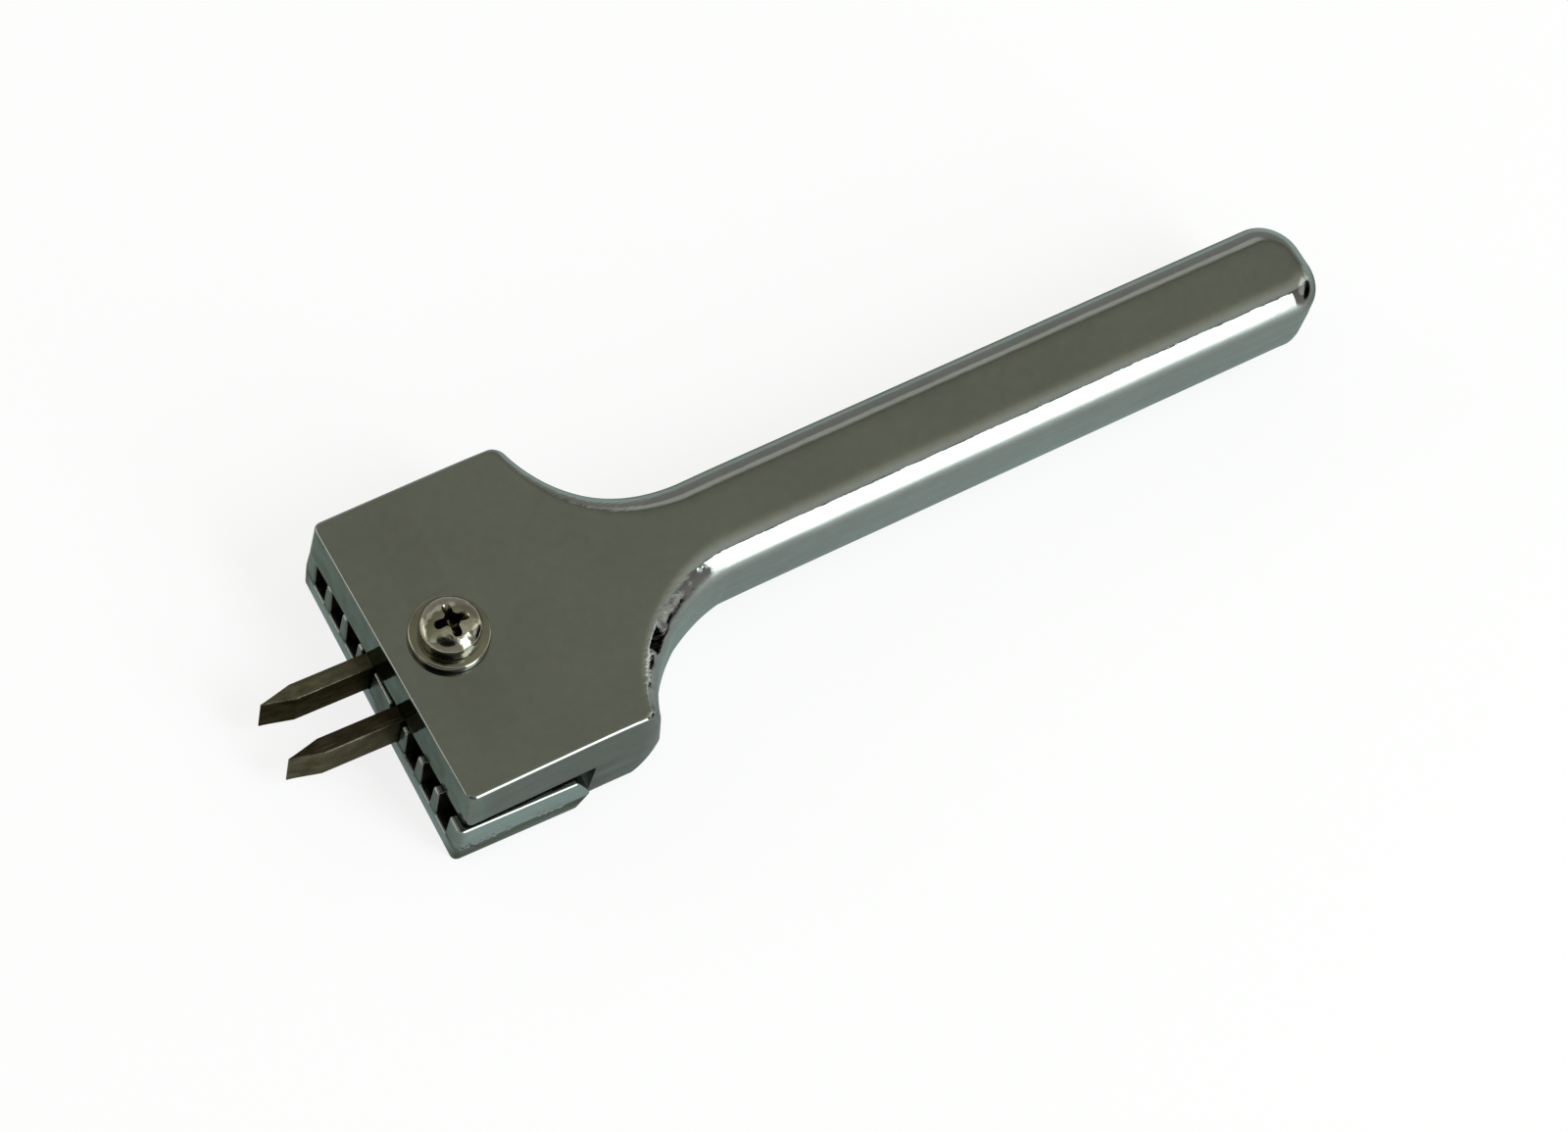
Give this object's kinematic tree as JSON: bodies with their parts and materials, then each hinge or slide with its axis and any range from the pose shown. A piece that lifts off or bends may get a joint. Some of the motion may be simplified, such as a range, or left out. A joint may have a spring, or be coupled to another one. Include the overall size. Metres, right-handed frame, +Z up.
{
  "type": "hardware setting punch",
  "caption": "Plated hand punch: flat bar handle, concave shoulders and a block head whose screwed, slotted lower jaw clamps chisel-tipped prongs that cut parallel slits.",
  "frame": {"origin": "under the middle of the tool's box, on the plane that the clamp plate rests on", "axes": "+X along the handle to its butt, -X to the prong tips, +Y to the left hand of someone looking along +X from the tips, +Z up out of the head's flat top"},
  "size_m": [0.1402, 0.0402, 0.02],
  "materials": {
    "bright_plating": "bright chrome plating over a die casting",
    "nickel_plating": "bright nickel plating",
    "prong_steel": "dark oxidised steel with fine scratches"
  },
  "bodies": {
    "casting": {"head_and_handle": "bright_plating"},
    "screw": {"clamp_screw": "nickel_plating"},
    "washer": {"flat_washer": "nickel_plating"},
    "plate": {"clamp_plate": "bright_plating"},
    "left_prong": {"prong_left": "prong_steel"},
    "right_prong": {"prong_right": "prong_steel"}
  },
  "joints": [
    {"name": "clamp_open", "type": "slide", "parent": "casting", "child": "plate", "axis": [0, 0, -1], "range_m": [0, 0.0021]},
    {"name": "screw_turn", "type": "hinge", "parent": "casting", "child": "screw", "pos_m": [-0.04882, 0, 0.01695], "axis": [0, 0, 1], "range_deg": [0, 1081]},
    {"name": "washer_spin", "type": "hinge", "parent": "casting", "child": "washer", "pos_m": [-0.04882, 0, 0.0163], "axis": [0, 0, 1], "continuous": true},
    {"name": "left_prong_slide", "type": "slide", "parent": "plate", "child": "left_prong", "axis": [-0.9996, 0.0288, 0], "range_m": [0, 0.012]},
    {"name": "right_prong_slide", "type": "slide", "parent": "plate", "child": "right_prong", "axis": [-0.9996, 0.0288, 0], "range_m": [0, 0.012]}
  ],
  "couplings": [
    {"joint": "screw_turn", "follows": "clamp_open", "rad_per_m": 8976}
  ]
}
